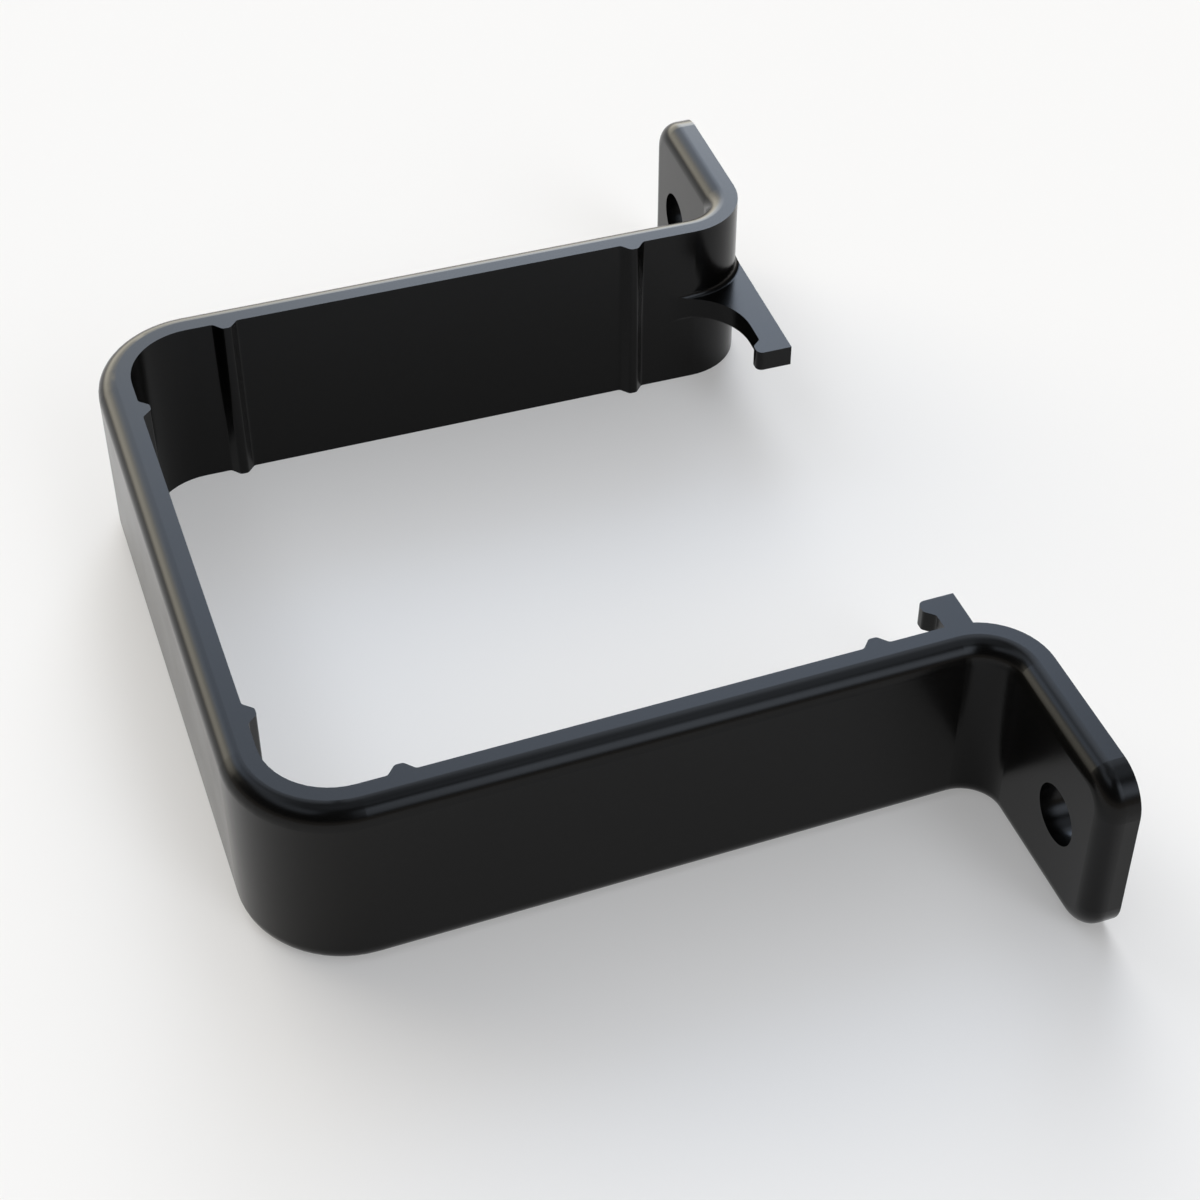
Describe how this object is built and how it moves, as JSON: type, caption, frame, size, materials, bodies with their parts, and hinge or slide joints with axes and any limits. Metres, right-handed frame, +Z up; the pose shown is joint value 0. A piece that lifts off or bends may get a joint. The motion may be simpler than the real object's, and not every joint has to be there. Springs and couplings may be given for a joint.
{
  "type": "downpipe clip",
  "caption": "Clip for a square downpipe: a toed-in strap with ribs inside, screw ears turned out to the wall, and flat hooks that hold the pipe off the wall.",
  "frame": {"origin": "midway between the screw holes, level with the ears' backs where they leave the arms, at mid height", "axes": "+X along the wall, +Y into the wall, +Z up along the pipe; the closed side of the strap is towards -Y"},
  "size_m": [0.1136, 0.0747, 0.02],
  "materials": {
    "clip_plastic": "smooth black moulded plastic with a satin sheen"
  },
  "bodies": {
    "root": {"pipe_clip": "clip_plastic"}
  },
  "joints": []
}
